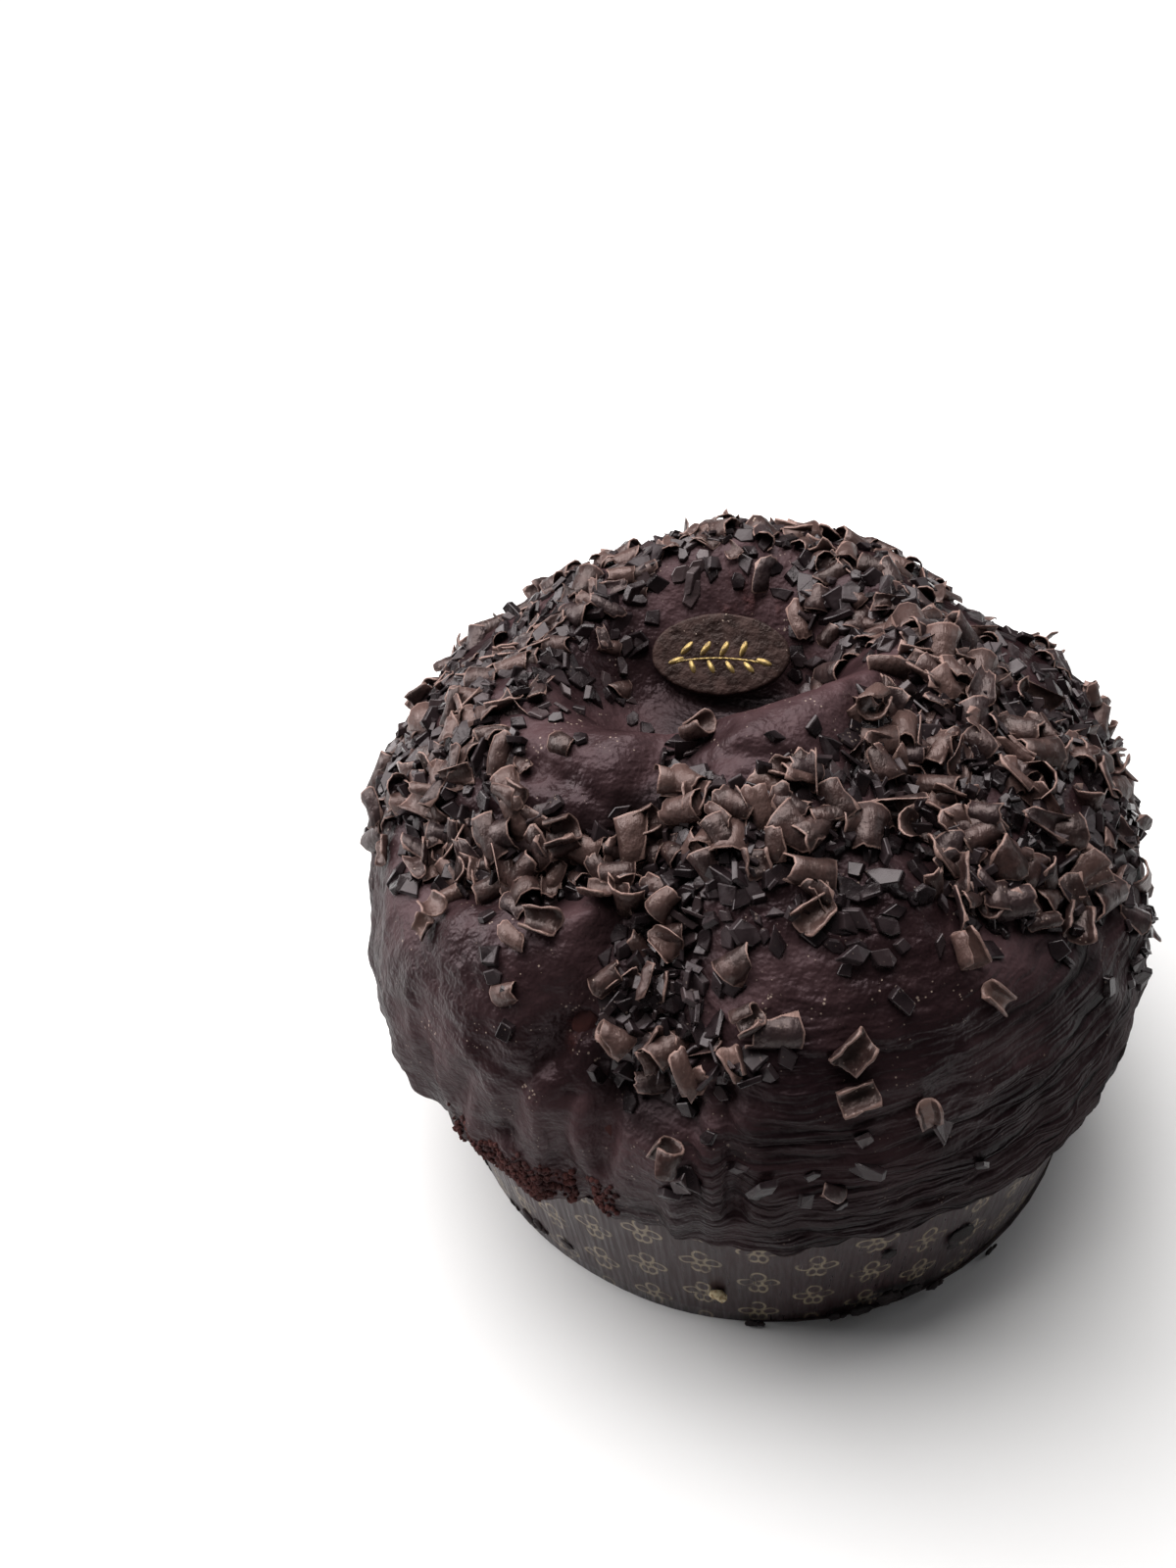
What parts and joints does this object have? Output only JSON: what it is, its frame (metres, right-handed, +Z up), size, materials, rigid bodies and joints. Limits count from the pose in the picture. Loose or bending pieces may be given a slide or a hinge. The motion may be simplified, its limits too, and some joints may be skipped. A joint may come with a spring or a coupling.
{
  "type": "chocolate panettone",
  "caption": "Round panettone under a dark chocolate glaze, strewn with chocolate curls and chips, with a plain plaque, in its brown paper baking mould.",
  "frame": {"origin": "centre of the mould's underside, on the table", "axes": "+Z up; -Y is the front, where the widest crack of the crown runs down; +X is to the right seen from the front"},
  "size_m": [0.2251, 0.2308, 0.1662],
  "materials": {
    "mould_paper": "satin",
    "crumb": "matte",
    "glaze": "satin",
    "plaque": "satin",
    "curl": "satin",
    "chip": "satin"
  },
  "bodies": {
    "root": {"mould_base": "mould_paper", "mould_wall": "mould_paper", "loaf": "crumb", "glaze": "glaze", "plaque": "plaque", "curl_01": "curl", "curl_02": "curl", "curl_03": "curl", "curl_04": "curl", "curl_05": "curl", "curl_06": "curl", "curl_07": "curl", "curl_08": "curl", "curl_09": "curl", "curl_10": "curl", "curl_11": "curl", "curl_12": "curl", "curl_13": "curl", "curl_14": "curl", "curl_15": "curl", "curl_16": "curl", "curl_17": "curl", "curl_18": "curl", "curl_19": "curl", "curl_20": "curl", "curl_21": "curl", "curl_22": "curl", "curl_23": "curl", "curl_24": "curl", "curl_25": "curl", "curl_26": "curl", "curl_27": "curl", "curl_28": "curl", "curl_29": "curl", "curl_30": "curl", "curl_31": "curl", "curl_32": "curl", "curl_33": "curl", "curl_34": "curl", "curl_35": "curl", "curl_36": "curl", "curl_37": "curl", "curl_38": "curl", "curl_39": "curl", "curl_40": "curl", "curl_41": "curl", "curl_42": "curl", "chip_01": "chip", "chip_02": "chip", "chip_03": "chip", "chip_04": "chip", "chip_05": "chip", "chip_06": "chip", "chip_07": "chip", "chip_08": "chip", "chip_09": "chip"}
  },
  "joints": []
}
